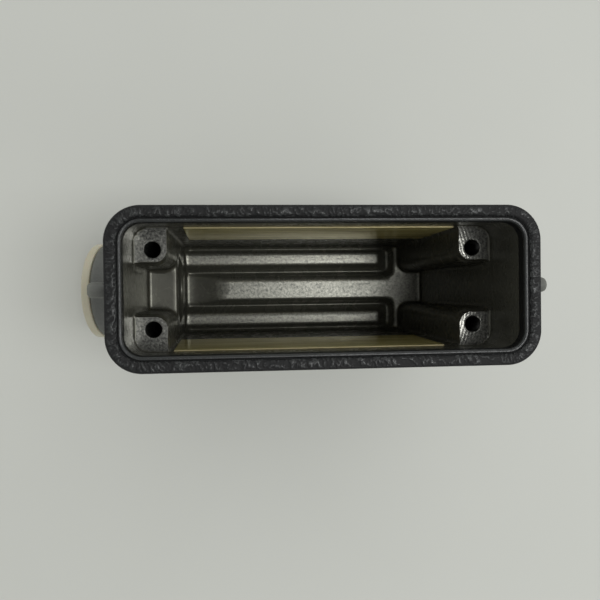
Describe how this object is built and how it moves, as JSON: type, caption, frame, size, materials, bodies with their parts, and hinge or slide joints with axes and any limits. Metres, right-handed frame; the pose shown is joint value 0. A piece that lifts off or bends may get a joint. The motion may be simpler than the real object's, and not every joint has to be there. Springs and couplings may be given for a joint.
{
  "type": "rectangular connector hood",
  "caption": "Empty die-cast hood of a heavy duty rectangular connector, open at the mating face, with screw bosses inside, a rim seal, locking pegs and a plugged angled cable entry.",
  "frame": {"origin": "middle of the flat outer face of the roof, which the hood stands on", "axes": "+X along the length away from the cable entry, +Y across the width, +Z out of the open mating face"},
  "size_m": [0.0964, 0.0296, 0.073],
  "materials": {
    "cast_aluminium": "as-cast grey aluminium, matt",
    "black_rubber": "moulded black rubber with a wrinkled crown",
    "brass_sheet": "rolled brass sheet, dull",
    "ivory_plastic": "moulded ivory plastic, satin"
  },
  "bodies": {
    "root": {"hood_casting": "cast_aluminium", "rim_seal": "black_rubber", "rear_side_plate": "brass_sheet", "front_side_plate": "brass_sheet", "entry_plug": "ivory_plastic"}
  },
  "joints": []
}
